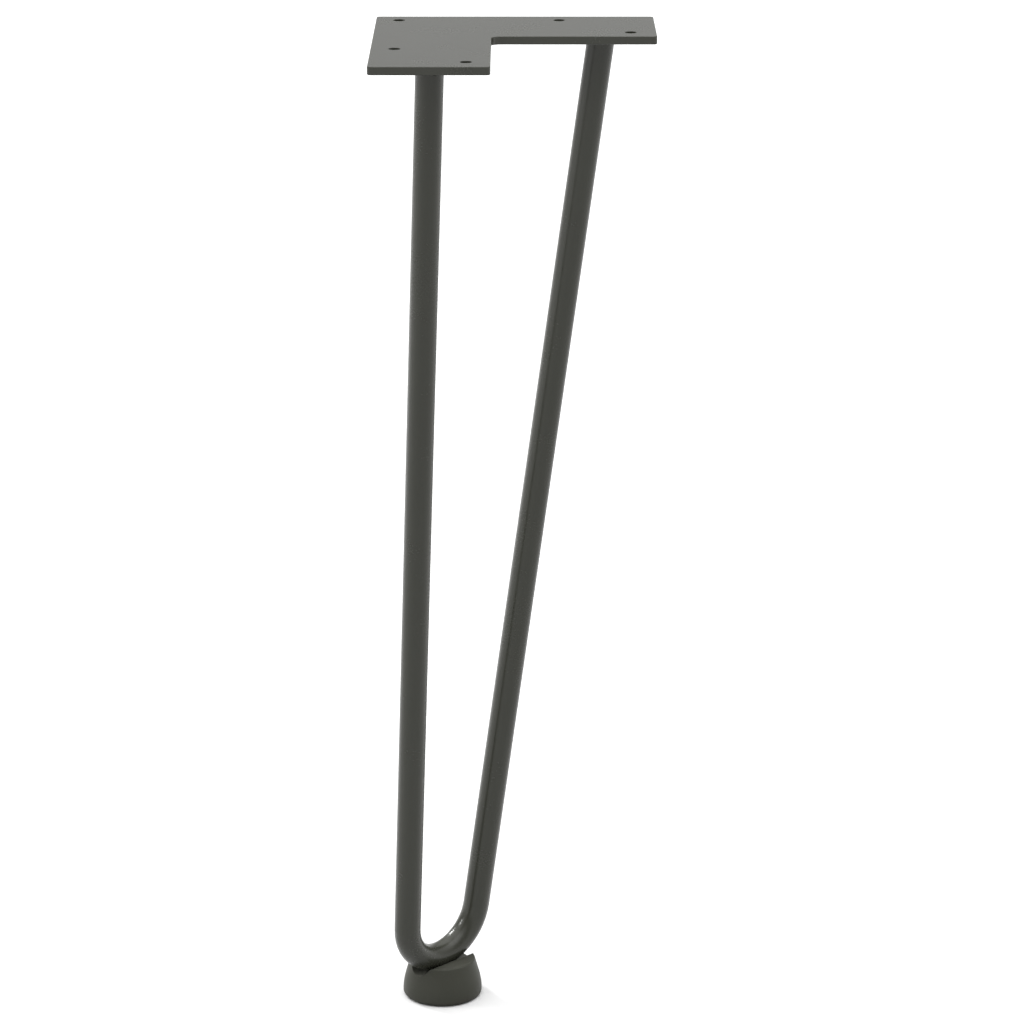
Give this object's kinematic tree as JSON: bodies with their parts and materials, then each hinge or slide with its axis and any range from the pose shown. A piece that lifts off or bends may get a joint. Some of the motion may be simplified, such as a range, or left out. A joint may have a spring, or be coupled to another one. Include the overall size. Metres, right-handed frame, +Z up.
{
  "type": "hairpin table leg",
  "caption": "Round steel bar bent into a hairpin, welded under an L-shaped screw plate for a table's corner and standing on a small moulded foot.",
  "frame": {"origin": "on the plate's top face, where the centre lines of its two arms cross, straight above the lowest point of the bend", "axes": "+Z up, out of the plate's top face; +X along one arm of the plate; -Y along the other arm; the plate's outer corner lies towards -X and +Y"},
  "size_m": [0.12, 0.12, 0.45],
  "materials": {
    "powder_coat": "satin anthracite powder coat, fine orange peel",
    "foot_plastic": "moulded anthracite plastic, satin"
  },
  "bodies": {
    "root": {"mounting_plate": "powder_coat", "hairpin_bar": "powder_coat", "weld_bead_right": "powder_coat", "weld_bead_front": "powder_coat", "foot": "foot_plastic"}
  },
  "joints": []
}
